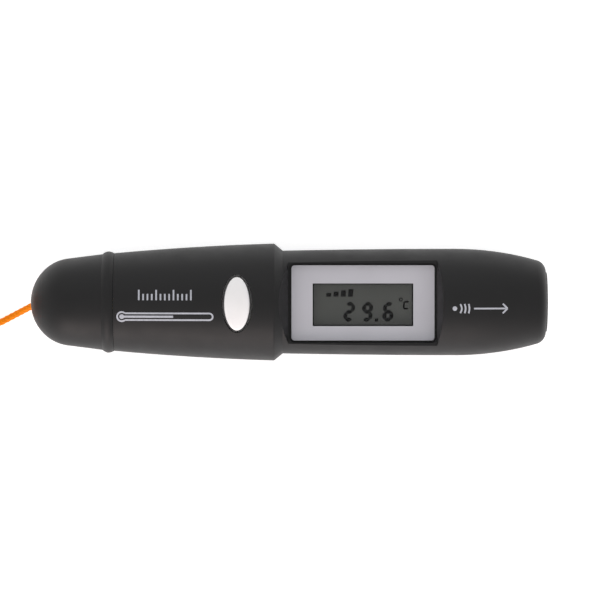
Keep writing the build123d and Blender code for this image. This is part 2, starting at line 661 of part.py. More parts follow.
# ---------------------------------------------------------------- tail cap
with BuildPart() as tail_cap:
    with BuildSketch(PLAN):
        with BuildLine():
            tip_arc = TangentArc((CAP_TIP_X, 0), CAP_SHOULDER, tangent=(0, 1))
            TangentArc(CAP_SHOULDER, CAP_TAPER_START, tangent=tip_arc % 1)
            Line(CAP_TAPER_START, (BEAD_START_X, BEAD_START_R))
            ThreePointArc(
                (BEAD_START_X, BEAD_START_R), (BEAD_TOP_X, BEAD_TOP_R), (CAP_RIM_X, CAP_RIM_R)
            )
            Polyline((CAP_RIM_X, CAP_RIM_R), (CAP_RIM_X, 0), (CAP_TIP_X, 0))
        make_face()
    revolve(axis=LONG_AXIS)
    split(bisect_by=Plane.XY, keep=Keep.TOP)

    # Hollow: round end, room for the outer cell, then the bore that slides on the barrel
    hollow_tip = (CAP_TIP_X + CAP_WALL, 0)
    hollow_shoulder = (CAP_SHOULDER[0] + 0.73 * CAP_WALL, CAP_SHOULDER[1] - 0.68 * CAP_WALL)
    hollow_taper_start = (CAP_TAPER_START[0] + 0.12 * CAP_WALL, CAP_TAPER_START[1] - CAP_WALL)
    with BuildSketch(PLAN):
        with BuildLine():
            hollow_arc = TangentArc(hollow_tip, hollow_shoulder, tangent=(0, 1))
            TangentArc(hollow_shoulder, hollow_taper_start, tangent=hollow_arc % 1)
            Polyline(
                hollow_taper_start,
                (CAP_BORE_END_X, BARREL_R - 0.3),
                (CAP_BORE_END_X, BARREL_R + GAP),
                (CAP_RIM_X, BARREL_R + GAP),
                (CAP_RIM_X, 0),
                hollow_tip,
            )
        make_face()
    revolve(axis=LONG_AXIS, mode=Mode.SUBTRACT)

    # Groove for the contact strip, and the cord's hole
    for start_x, end_x, top_r in CAP_GROOVES:
        with Locations((start_x, 0, AXIS_Z + top_r)):
            Box(
                end_x - start_x,
                CONTACT_WIDTH + 2 * GAP,
                3.0,
                align=(Align.MIN, Align.CENTER, Align.MAX),
                mode=Mode.SUBTRACT,
            )
    with BuildSketch(Plane(cord_route[0], z_dir=cord_direction)):
        Circle(CORD_HOLE_R)
    extrude(amount=6.0, mode=Mode.SUBTRACT)
write(tail_cap, "tail_cap")

# ---------------------------------------------------------------- nose
with BuildPart() as nose_ring:
    ring_front = NOSE_FACE_X + RING_PROUD
    with BuildSketch(PLAN):
        with BuildLine():
            Polyline(
                (RING_BACK_X, CONE_BACK_R),
                (RING_BACK_X, RING_R),
                (NOSE_FACE_X, RING_R),
                (NOSE_FACE_X, RING_FLANGE_R),
                (ring_front, RING_FLANGE_R),
                (ring_front, CONE_FRONT_R),
                close=True,
            )
        make_face()
    revolve(axis=LONG_AXIS)
    fillet(nose_ring.faces().sort_by(Axis.X)[-1].edges(), 0.1)
write(nose_ring, "nose_ring")

with BuildPart() as sensor_can:
    can_start = SENSOR_FRONT_X - SENSOR_CAN_LENGTH
    with BuildSketch(at_x(can_start)):
        Circle(SENSOR_CAN_R)
    extrude(amount=SENSOR_CAN_LENGTH)
    fillet(sensor_can.faces().sort_by(Axis.X)[-1].edges(), 0.35)
    with BuildSketch(at_x(can_start)):
        Circle(SENSOR_CAN_R - 0.25)
    extrude(amount=SENSOR_CAN_LENGTH - 0.25, mode=Mode.SUBTRACT)
    with BuildSketch(at_x(can_start)):
        Circle(1.25)
    extrude(amount=WELL_OUTSIDE, mode=Mode.SUBTRACT)
write(sensor_can, "sensor_can")

with BuildPart() as sensor_filter:
    with BuildSketch(at_x(SENSOR_FRONT_X - 0.25)):
        Circle(1.7)
    extrude(amount=-0.3)
write(sensor_filter, "sensor_filter")

with BuildPart() as sensor_header:
    with BuildSketch(at_x(can_start)):
        Circle(HEADER_R)
    extrude(amount=-HEADER_THICKNESS)
    with BuildSketch(at_x(can_start)):
        Rectangle(1.8, 1.8)
    extrude(amount=0.5)
write(sensor_header, "sensor_header")

with BuildPart() as sensor_leads:
    with BuildSketch(at_x(LEAD_END_X)):
        with GridLocations(2 * LEAD_OFFSET, 2 * LEAD_OFFSET, 2, 2):
            Circle(LEAD_R)
    extrude(amount=can_start - HEADER_THICKNESS - LEAD_END_X)
write(sensor_leads, "sensor_leads")

with BuildPart() as sensor_sleeve:
    with BuildSketch(at_x(SLEEVE_START_X)):
        Circle(SLEEVE_R)
        Circle(SENSOR_CAN_R + GAP, mode=Mode.SUBTRACT)
    extrude(amount=SLEEVE_END_X - SLEEVE_START_X)
    with BuildSketch(at_x(SLEEVE_START_X)):
        Circle(HEADER_R + GAP)
    extrude(amount=can_start + GAP - SLEEVE_START_X, mode=Mode.SUBTRACT)
write(sensor_sleeve, "sensor_sleeve")


# ---------------------------------------------------------------- lanyard
def corner_radii(points):
    """The largest arc that fits each corner of a route: 0.45 of the shorter run over tan(half the turn)."""
    radii = []
    for before, corner, after in zip(points, points[1:], points[2:]):
        turn = (corner - before).get_angle(after - corner)
        shorter = min((corner - before).length, (after - corner).length)
        radii.append(0.45 * shorter / tan(radians(turn / 2)))
    return radii


with BuildPart() as cord_stopper_knot:
    with Locations(knot_centre):
        Sphere(KNOT_R)
write(cord_stopper_knot, "cord_stopper_knot")

cord_radii = corner_radii(cord_route)
with BuildPart() as lanyard_cord:
    with BuildLine() as cord_path:
        FilletPolyline(*cord_route, radius=cord_radii)
    with BuildSketch(Plane(cord_route[0], z_dir=cord_direction)):
        Circle(CORD_R)
    sweep()
write(lanyard_cord, "lanyard_cord")
cord_length = sum(edge.length for edge in cord_path.edges())
section_volume = pi * CORD_R**2 * cord_length
print("cord radii", [round(r, 1) for r in cord_radii], "length", round(cord_length, 1))
print("cord volume", round(lanyard_cord.part.volume, 2), "section x length", round(section_volume, 2))

outer_fold_r = HANK_FOLD_R + (HANK_TRACKS - 1) * TURN_PITCH
hank_y = cord_route[-1].Y + outer_fold_r
hank_x = cord_route[-1].X - HANK_STRAIGHT / 2
hank_half_width = outer_fold_r + CORD_R
hank_height = (HANK_LAYERS - 1) * TURN_PITCH + 2 * CORD_R
with BuildPart() as lanyard_hank:
    with BuildSketch(Plane.XY.offset(TIE_THICKNESS)):
        with Locations((hank_x, hank_y)):
            SlotOverall(HANK_STRAIGHT + 2 * hank_half_width, 2 * hank_half_width)
            hole_half_width = HANK_FOLD_R - CORD_R
            SlotOverall(
                HANK_STRAIGHT + 2 * hole_half_width, 2 * hole_half_width, mode=Mode.SUBTRACT
            )
    extrude(amount=hank_height)
    fillet(lanyard_hank.faces().filter_by(Axis.Z).edges(), 0.5)
write(lanyard_hank, "lanyard_hank")

with BuildPart() as hank_tie:
    with BuildSketch(Plane((hank_x, hank_y, 0), x_dir=(0, 1, 0), z_dir=(1, 0, 0))):
        tie_width, tie_height = 2 * (hank_half_width + TIE_THICKNESS), hank_height + 2 * TIE_THICKNESS
        with Locations((0, tie_height / 2)):
            RectangleRounded(tie_width, tie_height, 0.5 + TIE_THICKNESS)
            RectangleRounded(
                tie_width - 2 * TIE_THICKNESS, tie_height - 2 * TIE_THICKNESS, 0.5, mode=Mode.SUBTRACT
            )
    extrude(amount=TIE_WIDTH / 2, both=True)
write(hank_tie, "hank_tie")

with BuildPart() as cord_end_knot:
    with Locations((hank_x + END_KNOT_OFFSET[0], hank_y + END_KNOT_OFFSET[1], KNOT_R)):
        Sphere(KNOT_R)
write(cord_end_knot, "cord_end_knot")
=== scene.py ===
"""Looks of the pen-type infrared thermometer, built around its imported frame. Lengths are written in mm."""

from math import asin, cos, degrees, pi, radians, sin, tan

import bmesh
import bpy
from mathutils import Matrix, Vector
from mathutils.bvhtree import BVHTree


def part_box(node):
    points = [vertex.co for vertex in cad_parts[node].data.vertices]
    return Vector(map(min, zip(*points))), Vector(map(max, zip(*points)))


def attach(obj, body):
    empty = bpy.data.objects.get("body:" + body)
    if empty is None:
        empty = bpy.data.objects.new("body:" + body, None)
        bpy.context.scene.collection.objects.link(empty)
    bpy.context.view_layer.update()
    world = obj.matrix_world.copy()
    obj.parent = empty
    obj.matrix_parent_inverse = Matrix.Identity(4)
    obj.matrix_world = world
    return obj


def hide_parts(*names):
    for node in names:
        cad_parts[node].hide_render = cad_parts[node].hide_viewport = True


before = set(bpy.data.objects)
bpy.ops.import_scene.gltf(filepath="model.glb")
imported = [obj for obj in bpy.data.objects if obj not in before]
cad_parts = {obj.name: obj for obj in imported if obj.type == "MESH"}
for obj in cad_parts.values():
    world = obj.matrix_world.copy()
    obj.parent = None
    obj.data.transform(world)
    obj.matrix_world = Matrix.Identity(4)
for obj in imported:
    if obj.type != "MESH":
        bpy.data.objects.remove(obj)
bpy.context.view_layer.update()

MM = 0.001

# ---------------------------------------------------------------- driving dimensions (mm)
AXIS_Z = 7.6  # height of the body's long axis

# Camera
VIEW_CENTRE = (1.75, 0.32, AXIS_Z)
VIEW_WIDTH = 95.3  # seen at the height of the long axis
CAMERA_LENS, SENSOR_WIDTH = 300.0, 36.0
CAMERA_TILT = 2.0  # degrees from straight down, towards +Y

# Lanyard: the free run's points, then the hank's turns
CORD_R = 0.55
CORD_EXIT = (-39.6, 0.0, 3.34)
CORD_ROUTE = (
    (-38.45, 0.61, 4.36),
    (-42.6, -1.595, 0.80),
    (-47.85, -4.38, 0.62),
    (-51.6, -5.20, 0.70),
    (-55.4, -5.20, 0.75),
)
TURN_PITCH = 1.12
INNER_R = 3.4
OUTER_R = INNER_R + TURN_PITCH
HANK_STRAIGHT = 12.0
HANK_X = CORD_ROUTE[-1][0] - HANK_STRAIGHT / 2
HANK_Y = CORD_ROUTE[-1][1] + OUTER_R
LAYER_Z = tuple(CORD_ROUTE[-1][2] + layer * TURN_PITCH for layer in range(3))
FOLD_POINTS = 8
RISE_SHARE = 0.7  # part of a fold in which the cord climbs or drops by one layer
END_RUN = 1.5  # where the last run ends, ahead of the hank's centre
END_BEND, END_KNOT_OFFSET = (-2.0, -0.5), (-5.2, -0.4)  # from the hank's centre, along X and Y

# Braid of the cord
BRAID_STRANDS = 4  # in each direction
BRAID_STEP = 0.9  # along the cord, between neighbouring strands
BRAID_DEPTH = 0.26  # groove depth as a share of the cord's radius
STRAND_LEVEL, CROSSING_LIFT, STRAND_ROUNDNESS = 0.78, 0.22, 0.8
TUBE_SIDES = 24
TUBE_STEP = 0.11
KNOT_R, KNOT_STRAND_R = 1.1, 0.42
KNOT_POINTS, KNOT_DEPTH = 90, 1.7

# Printed marks on the body
INK_HEIGHT, INK_DEPTH = 0.012, 0.04
INK_GRID = 0.22
STROKE = 0.26
TICK_START, TICK_END, TICK_COUNT, TICK_BASE = -23.6, -15.4, 13, 0.57
TICK_HEIGHTS = (1.63, 1.0)  # every fourth one, and the others
SYMBOL_Y, BULB_X, BULB_R, COLUMN_R = -2.03, -26.3, 0.60, 0.38
STEM_HALF_WIDTH, STEM_END = 0.40, -12.5
COLUMN_START, COLUMN_END, COLUMN_WIDTH = -25.958, -18.2, 0.34
RAYS_Y, SOURCE_X, SOURCE_R, WAVE_HALF_HEIGHT = -0.74, 26.1, 0.36, 0.78
WAVE_RADII = (0.95, 1.55, 2.15)
ARROW_START, ARROW_TIP, ARROW_HEAD = 29.1, 34.4, 0.75

# Display
SEGMENT_HEIGHT, SEGMENT_GAP = 0.02, 0.02
SEGMENT_SLANT = 0.09
DIGIT_WIDTH, DIGIT_HEIGHT, DIGIT_STROKE, DIGIT_BASE = 1.72, 3.1, 0.62, -3.0
DIGITS = ((2, 8.55), (9, 11.4), (6, 14.72))  # each with its left side
POINT_X, POINT_SIZE = 13.85, 0.5
LEVEL_X, LEVEL_Y, LEVEL_WIDTH, LEVEL_PITCH = 6.3, 0.95, 0.78, 1.16
LEVEL_HEIGHTS = (0.6, 0.8, 1.0, 1.2)
DEGREE_X, DEGREE_Y, DEGREE_R, DEGREE_SIDES = 17.7, 0.5, 0.32, 12
UNIT_LEFT, UNIT_RIGHT, UNIT_TOP, UNIT_BOTTOM, UNIT_STROKE = 18.15, 18.9, 0.15, -0.95, 0.27
# Dark frame round the display's glass: partly the display's own black mask, partly a painted shadow of the
# opening's edge
MASK_AND_SHADOW_CENTRE = (11.7, -0.3)  # under the printed border's opening
MASK_AND_SHADOW_INSIDE, MASK_AND_SHADOW_WIDTH = (15.55, 6.4), 0.5

# Studio
FLOOR_HALF = 3000.0
FLOOR_GLOW, SKY_STRENGTH = 0.58, 0.80


# ---------------------------------------------------------------- meshes
def mesh_object(name, bm, material, smooth=True):
    """Turn a bmesh in mm into an object in metres with one material."""
    bmesh.ops.recalc_face_normals(bm, faces=bm.faces)
    bmesh.ops.scale(bm, vec=(MM, MM, MM), verts=bm.verts)
    mesh = bpy.data.meshes.new(name)
    bm.to_mesh(mesh)
    bm.free()
    for polygon in mesh.polygons:
        polygon.use_smooth = smooth
    mesh.materials.append(material)
    made = bpy.data.objects.new(name, mesh)
    bpy.context.scene.collection.objects.link(made)
    return made


def grid_solid(bm, rows, height, depth):
    """Add a thin closed solid over a grid of surface points, a list of rows of (x, y, z)."""
    tops = [[bm.verts.new((x, y, z + height)) for x, y, z in row] for row in rows]
    bottoms = [[bm.verts.new((x, y, z - depth)) for x, y, z in row] for row in rows]
    last_row, last_column = len(rows) - 1, len(rows[0]) - 1
    for i in range(last_row):
        for j in range(last_column):
            bm.faces.new((tops[i][j], tops[i + 1][j], tops[i + 1][j + 1], tops[i][j + 1]))
            bm.faces.new((bottoms[i][j], bottoms[i][j + 1], bottoms[i + 1][j + 1], bottoms[i + 1][j]))
    for i in range(last_row):
        for j in (0, last_column):
            bm.faces.new((tops[i][j], tops[i + 1][j], bottoms[i + 1][j], bottoms[i][j]))
    for j in range(last_column):
        for i in (0, last_row):
            bm.faces.new((tops[i][j], tops[i][j + 1], bottoms[i][j + 1], bottoms[i][j]))


def prism(bm, outline, bottom, top):
    """Add a closed upright solid over a polygon of (x, y) points."""
    lower = [bm.verts.new((x, y, bottom)) for x, y in outline]
    upper = [bm.verts.new((x, y, top)) for x, y in outline]
    bm.faces.new(upper)
    bm.faces.new(lower[::-1])
    count = len(outline)
    for i in range(count):
        after = (i + 1) % count
        bm.faces.new((lower[i], lower[after], upper[after], upper[i]))


# ---------------------------------------------------------------- materials
NOISE_RANGE = (0.3, 0.7)  # nearly all of a noise texture's values
GLOSS_SPREAD = 0.08
COAT_ROUGHNESS = 0.12
INDEX_OF_REFRACTION = 1.48


def spread_out(nodes, links, source, low, high):
    """Map the usual range of a noise value to low to high."""
    mapped = nodes.new("ShaderNodeMapRange")
    mapped.inputs["From Min"].default_value = NOISE_RANGE[0]
    mapped.inputs["From Max"].default_value = NOISE_RANGE[1]
    mapped.inputs["To Min"].default_value = low
    mapped.inputs["To Max"].default_value = high
    links.new(source, mapped.inputs["Value"])
    return mapped.outputs["Result"]


def noise(nodes, links, coordinates, feature, detail=3.0, stretch=(1, 1, 1)):
    """Noise with features of about that many mm, drawn out along an axis where stretch is below 1."""
    mapping = nodes.new("ShaderNodeMapping")
    mapping.inputs["Scale"].default_value = stretch
    links.new(coordinates, mapping.inputs["Vector"])
    texture = nodes.new("ShaderNodeTexNoise")
    texture.inputs["Scale"].default_value = 1 / (feature * MM)
    texture.inputs["Detail"].default_value = detail
    links.new(mapping.outputs["Vector"], texture.inputs["Vector"])
    return texture.outputs["Fac"]


def surface(
    name,
    color,
    roughness,
    metallic=0.0,
    tone=0.08,
    tone_feature=3.0,
    grain=0.12,
    grain_depth=0.004,
    stretch=(1, 1, 1),
    coat=0.0,
    alpha=1.0,
    specular=0.5,
):
    """Material with a mottled tone, uneven gloss and a fine grain."""
    material = bpy.data.materials.new(name)
    material.use_nodes = True
    nodes, links = material.node_tree.nodes, material.node_tree.links
    shader = nodes["Principled BSDF"]
    shader.inputs["Metallic"].default_value = metallic
    shader.inputs["IOR"].default_value = INDEX_OF_REFRACTION
    shader.inputs["Specular IOR Level"].default_value = specular
    shader.inputs["Coat Weight"].default_value = coat
    shader.inputs["Coat Roughness"].default_value = COAT_ROUGHNESS
    shader.inputs["Alpha"].default_value = alpha
    coordinates = nodes.new("ShaderNodeTexCoord").outputs["Object"]
    mottle = noise(nodes, links, coordinates, tone_feature, stretch=stretch)
    ramp = nodes.new("ShaderNodeValToRGB")
    for stop, position, shade in zip(ramp.color_ramp.elements, NOISE_RANGE, (1 - tone, 1 + tone)):
        stop.position = position
        stop.color = [min(1, channel * shade) for channel in color] + [1]
    links.new(mottle, ramp.inputs["Fac"])
    links.new(ramp.outputs["Color"], shader.inputs["Base Color"])
    smoothest, roughest = roughness * (1 - GLOSS_SPREAD), min(1, roughness * (1 + GLOSS_SPREAD))
    gloss = spread_out(nodes, links, mottle, smoothest, roughest)
    links.new(gloss, shader.inputs["Roughness"])
    bump = nodes.new("ShaderNodeBump")
    bump.inputs["Distance"].default_value = grain_depth * MM
    bump.inputs["Strength"].default_value = 1.0
    links.new(noise(nodes, links, coordinates, grain, 2.0, stretch), bump.inputs["Height"])
    links.new(bump.outputs["Normal"], shader.inputs["Normal"])
    return material


LENGTHWISE = (0.06, 1, 1)  # brushed along X
SLOT_LOOKS = {
    "charcoal_plastic": dict(
        color=(0.0095, 0.0093, 0.0097), roughness=0.50, specular=0.28, tone=0.08, grain=0.14
    ),
    "white_plastic": dict(
        color=(0.86, 0.845, 0.845), roughness=0.32, tone=0.02, grain_depth=0.002, coat=0.15
    ),
    "black_plastic": dict(color=(0.012, 0.012, 0.013), roughness=0.5),
    "clear_acrylic": dict(
        color=(0.05, 0.05, 0.055), roughness=0.04, tone=0.01, grain_depth=0.0002, alpha=0.08
    ),
    "silver_print": dict(
        color=(0.70, 0.69, 0.745), roughness=0.45, metallic=0.15, tone=0.04, tone_feature=9.0, grain=0.05
    ),
    "adhesive": dict(color=(0.02, 0.02, 0.022), roughness=0.7, grain=0.3, grain_depth=0.02),
    "lcd_glass": dict(color=(0.5, 0.55, 0.5), roughness=0.05, tone=0.02, grain_depth=0.0002, alpha=0.35),
    "polariser_film": dict(
        color=(0.076, 0.080, 0.072),
        roughness=0.38,
        tone=0.10,
        tone_feature=6.0,
        grain=0.04,
        grain_depth=0.001,
    ),
    "reflector_film": dict(color=(0.5, 0.52, 0.48), roughness=0.35, metallic=0.6, stretch=LENGTHWISE),
    "elastomer": dict(
        color=(0.16, 0.05, 0.05), roughness=0.6, stretch=(1, 1, 0.1), tone=0.3, tone_feature=0.3
    ),
    "circuit_board": dict(color=(0.012, 0.13, 0.035), roughness=0.35, tone=0.35, tone_feature=0.9, grain=0.4),
    "epoxy": dict(
        color=(0.008, 0.008, 0.009), roughness=0.16, tone=0.2, grain=1.5, grain_depth=0.05, coat=0.4
    ),
    "chip_body": dict(color=(0.022, 0.022, 0.024), roughness=0.55, grain=0.08, grain_depth=0.008),
    "ceramic": dict(color=(0.28, 0.19, 0.10), roughness=0.6, tone=0.15, tone_feature=0.4),
    "nickel": dict(
        color=(0.66, 0.64, 0.60), roughness=0.24, metallic=1.0, stretch=LENGTHWISE, grain_depth=0.002
    ),
    "gold_plate": dict(color=(0.83, 0.58, 0.22), roughness=0.25, metallic=1.0, grain_depth=0.002),
    "spring_steel": dict(color=(0.55, 0.55, 0.56), roughness=0.28, metallic=1.0, grain_depth=0.002),
    "zinc": dict(
        color=(0.42, 0.42, 0.44), roughness=0.45, metallic=1.0, tone=0.15, grain=0.25, grain_depth=0.01
    ),
    "silicon": dict(
        color=(0.10, 0.11, 0.15), roughness=0.08, metallic=0.7, tone=0.1, tone_feature=1.2, coat=0.5
    ),
    "label_film": dict(
        color=(0.52, 0.53, 0.55), roughness=0.36, metallic=0.5, stretch=LENGTHWISE, grain_depth=0.001
    ),
    "steel_screw": dict(color=(0.06, 0.06, 0.065), roughness=0.35, metallic=0.9, grain_depth=0.004),
    "orange_cord": dict(
        color=(0.97, 0.235, 0.002),
        roughness=0.65,
        specular=0.15,
        tone=0.18,
        tone_feature=0.25,
        grain=0.05,
        grain_depth=0.01,
    ),
    "tie_plastic": dict(
        color=(0.018, 0.018, 0.018), roughness=0.65, stretch=(1, 0.2, 0.2), grain=0.2, grain_depth=0.03
    ),
}
looks = {slot: surface(slot, **look) for slot, look in SLOT_LOOKS.items()}
legend_ink = surface("legend_ink", (0.44, 0.45, 0.50), 0.5, tone=0.10, tone_feature=0.4, grain=0.06)
# Dark ink of the display's segments, also used for the frame that paints the shadow at the display's edges
segment_and_shadow_ink = surface("segment_and_shadow_ink", (0.004, 0.0042, 0.004), 0.5, specular=0.05, tone=0.10, tone_feature=0.5)

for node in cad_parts.values():
    for material_slot in node.material_slots:
        material_slot.material = looks[material_slot.material.name.split(".")[0]]

# ---------------------------------------------------------------- camera
tilt = radians(CAMERA_TILT)
away = Vector((0, sin(tilt), cos(tilt)))
camera_data = bpy.data.cameras.new("camera")
camera_data.lens = CAMERA_LENS
camera_data.sensor_width = SENSOR_WIDTH
camera_data.clip_start = 0.01
camera = bpy.data.objects.new("camera", camera_data)
camera_distance = VIEW_WIDTH * CAMERA_LENS / SENSOR_WIDTH
camera.matrix_world = Matrix(
    (
        (1, 0, 0, VIEW_CENTRE[0] * MM),
        (0, away.z, away.y, (VIEW_CENTRE[1] + away.y * camera_distance) * MM),
        (0, -away.y, away.z, (VIEW_CENTRE[2] + away.z * camera_distance) * MM),
        (0, 0, 0, 1),
    )
)
bpy.context.scene.collection.objects.link(camera)
bpy.context.scene.camera = camera


# ---------------------------------------------------------------- lanyard
def fold(centre_x, start_angle, radius, start_z, end_z):
    """Control points of half a turn, clockwise from start_angle, that touch the circle of that radius."""
    step = pi / FOLD_POINTS
    corner_r = radius / cos(step / 2)
    points = []
    for i in range(FOLD_POINTS):
        share = (i + 0.5) / FOLD_POINTS
        angle = start_angle - share * pi
        z = start_z + (end_z - start_z) * min(1, share / RISE_SHARE)
        points.append((centre_x + corner_r * cos(angle), HANK_Y + corner_r * sin(angle), z))
    return points


def run(start, end, radius):
    """Control points of a straight run between two folds of that radius."""
    reach = radius * tan(pi / FOLD_POINTS / 2)
    direction = (Vector(end) - Vector(start)).normalized()
    return [tuple(Vector(start) + direction * reach), tuple(Vector(end) - direction * reach)]


def hank():
    """Control points of the turns: three outer ones going up, the inner ones going down, then the end."""
    near, far = HANK_X + HANK_STRAIGHT / 2, HANK_X - HANK_STRAIGHT / 2
    first, second, third = LAYER_Z
    # radius of the first run, radii at the start and end of the second run, heights of the two runs
    turns = (
        (OUTER_R, OUTER_R, OUTER_R, first, first),
        (OUTER_R, OUTER_R, OUTER_R, second, second),
        (OUTER_R, OUTER_R, INNER_R, third, third),
        (INNER_R, INNER_R, INNER_R, third, second),
        (INNER_R, INNER_R, INNER_R, second, first),
    )
    following = [turn[3] for turn in turns[1:]] + [first]
    points = []
    for (first_r, start_r, end_r, first_z, second_z), next_z in zip(turns, following):
        points += run((near, HANK_Y - first_r, first_z), (far, HANK_Y - first_r, first_z), first_r)
        points += fold(far, -pi / 2, start_r, first_z, second_z)
        points += run((far, HANK_Y + start_r, second_z), (near, HANK_Y + end_r, second_z), end_r)
        points += fold(near, pi / 2, end_r, second_z, next_z)
    end_of_run = (HANK_X + END_RUN, HANK_Y - INNER_R, first)
    points += [run((near, HANK_Y - INNER_R, first), end_of_run, INNER_R)[0], end_of_run]
    points.append((HANK_X + END_BEND[0], HANK_Y + END_BEND[1], first))
    points.append((HANK_X + END_KNOT_OFFSET[0], HANK_Y + END_KNOT_OFFSET[1], KNOT_R))
    return points


def spline_line(points):
    """Points in mm along the NURBS spline that has these control points."""
    curve = bpy.data.curves.new("route", "CURVE")
    curve.dimensions = "3D"
    spline = curve.splines.new("NURBS")
    spline.points.add(len(points) - 1)
    for control, (x, y, z) in zip(spline.points, points):
        control.co = (x * MM, y * MM, z * MM, 1)
    spline.order_u = 3
    spline.use_endpoint_u = True
    spline.resolution_u = 10
    route = bpy.data.objects.new("route", curve)
    bpy.context.scene.collection.objects.link(route)
    bpy.context.view_layer.update()
    mesh = bpy.data.meshes.new_from_object(route)
    line = [vertex.co / MM for vertex in mesh.vertices]
    bpy.data.meshes.remove(mesh)
    bpy.data.objects.remove(route)
    bpy.data.curves.remove(curve)
    return line


def evenly(line, step):
    """Points a fixed step apart along a line of points."""
    spaced = [line[0].copy()]
    left = step
    for start, end in zip(line, line[1:]):
        length = (end - start).length
        while length >= left and length > 0:
            start = start.lerp(end, left / length)
            spaced.append(start)
            length = (end - start).length
            left = step
        left -= length
    return spaced


def braid_radius(radius, angle, along):
    """Radius of a braided cord's surface at an angle round it and a distance along it."""
    turns = BRAID_STRANDS * angle / (2 * pi)
    one = cos(pi * (turns + along / BRAID_STEP))
    other = cos(pi * (turns - along / BRAID_STEP))
    lift = CROSSING_LIFT * one * other
    height = max(
        abs(one) ** STRAND_ROUNDNESS * (STRAND_LEVEL + lift),
        abs(other) ** STRAND_ROUNDNESS * (STRAND_LEVEL - lift),
    )
    return radius * (1 - BRAID_DEPTH * (1 - height))


def braided_tube(name, line, radius, closed=False):
    """Mesh of a braided cord along a line of evenly spaced points."""
    bm = bmesh.new()
    rings, along = [], 0.0
    behind_start = line[-1] if closed else line[0]
    tangent = (line[1] - behind_start).normalized()
    side = tangent.orthogonal().normalized()
    count = len(line)
    for i, centre in enumerate(line):
        before = line[i - 1] if i or closed else line[0]
        after = line[(i + 1) % count] if i < count - 1 or closed else line[-1]
        new_tangent = (after - before).normalized()
        side = (tangent.rotation_difference(new_tangent) @ side).normalized()
        side = (side - new_tangent * side.dot(new_tangent)).normalized()
        tangent = new_tangent
        up = tangent.cross(side)
        if i:
            along += (centre - line[i - 1]).length
        ring = []
        for k in range(TUBE_SIDES):
            angle = 2 * pi * k / TUBE_SIDES
            r = braid_radius(radius, angle, along)
            ring.append(bm.verts.new(centre + side * (r * cos(angle)) + up * (r * sin(angle))))
        rings.append(ring)
    pairs = list(zip(rings, rings[1:]))
    if closed:
        pairs.append((rings[-1], rings[0]))
    for ring, following in pairs:
        for k in range(TUBE_SIDES):
            after = (k + 1) % TUBE_SIDES
            bm.faces.new((ring[k], ring[after], following[after], following[k]))
    if not closed:
        bm.faces.new(rings[0][::-1])
        bm.faces.new(rings[-1])
    return mesh_object(name, bm, looks["orange_cord"])


def knot(name, centre, direction, node):
    """A pulled-tight overhand knot in place of a round CAD solid."""
    size = (KNOT_R - KNOT_STRAND_R) / 3
    turn = Vector((0, 0, 1)).rotation_difference(Vector(direction).normalized())
    line = []
    for i in range(KNOT_POINTS):
        t = 2 * pi * i / KNOT_POINTS
        offset = Vector((sin(t) + 2 * sin(2 * t), cos(t) - 2 * cos(2 * t), -KNOT_DEPTH * sin(3 * t))) * size
        line.append(Vector(centre) + turn @ offset)
    made = braided_tube(name, line, KNOT_STRAND_R, closed=True)
    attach(made, "cap")
    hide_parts(node)
    return made


cord_points = list(CORD_ROUTE) + hank()
cord_line = evenly(spline_line(cord_points), TUBE_STEP)
lanyard = braided_tube("lanyard", cord_line, CORD_R)
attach(lanyard, "cap")
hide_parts("lanyard_cord", "lanyard_hank")

cord_start_direction = Vector(CORD_EXIT) - Vector(CORD_ROUTE[0])
stopper_centre = Vector(CORD_ROUTE[0]) - cord_start_direction.normalized() * KNOT_R
stopper_knot = knot("stopper_knot", stopper_centre, cord_start_direction, "cord_stopper_knot")
end_direction = Vector(cord_points[-1]) - Vector(cord_points[-2])
end_knot = knot("end_knot", cord_points[-1], end_direction, "cord_end_knot")

# ---------------------------------------------------------------- printed marks on the body
shell_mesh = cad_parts["upper_shell"].data
shell_tree = BVHTree.FromPolygons(
    [vertex.co for vertex in shell_mesh.vertices], [list(polygon.vertices) for polygon in shell_mesh.polygons]
)


def on_shell(x, y):
    """The point of the upper shell's surface over x, y."""
    hit = shell_tree.ray_cast(Vector((x, y, 30.0)) * MM, Vector((0, 0, -1)))[0]
    return x, y, hit.z / MM


def stroke(bm, start, end, width=STROKE):
    """Printed line from start to end."""
    a, b = Vector(start), Vector(end)
    across = (b - a).normalized().orthogonal() * width / 2
    steps = max(2, round((b - a).length / INK_GRID))
    rows = []
    for i in range(steps + 1):
        middle = a.lerp(b, i / steps)
        rows.append([on_shell(*(middle - across)), on_shell(*middle), on_shell(*(middle + across))])
    grid_solid(bm, rows, INK_HEIGHT, INK_DEPTH)


def arc_band(bm, x, y, inner_r, outer_r, start, end):
    """Printed part of a ring, between two angles in degrees."""
    steps = max(6, round(radians(end - start) * outer_r / INK_GRID))
    rows = []
    for i in range(steps + 1):
        angle = radians(start + (end - start) * i / steps)
        rows.append([on_shell(x + r * cos(angle), y + r * sin(angle)) for r in (inner_r, outer_r)])
    grid_solid(bm, rows, INK_HEIGHT, INK_DEPTH)


def disc(bm, x, y, radius):
    """Printed disc, as nested squares of points drawn out to circles."""
    steps = 8
    rows = []
    for i in range(steps + 1):
        row = []
        for j in range(steps + 1):
            a, b = 2 * i / steps - 1, 2 * j / steps - 1
            reach = max(abs(a), abs(b))
            length = (a * a + b * b) ** 0.5
            scale = radius * reach / length if length else 0.0
            row.append(on_shell(x + a * scale, y + b * scale))
        rows.append(row)
    grid_solid(bm, rows, INK_HEIGHT, INK_DEPTH)


def finish_mark(name, bm):
    """Make the printed mark a piece of the housing."""
    made = mesh_object(name, bm, legend_ink, smooth=False)
    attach(made, "housing")


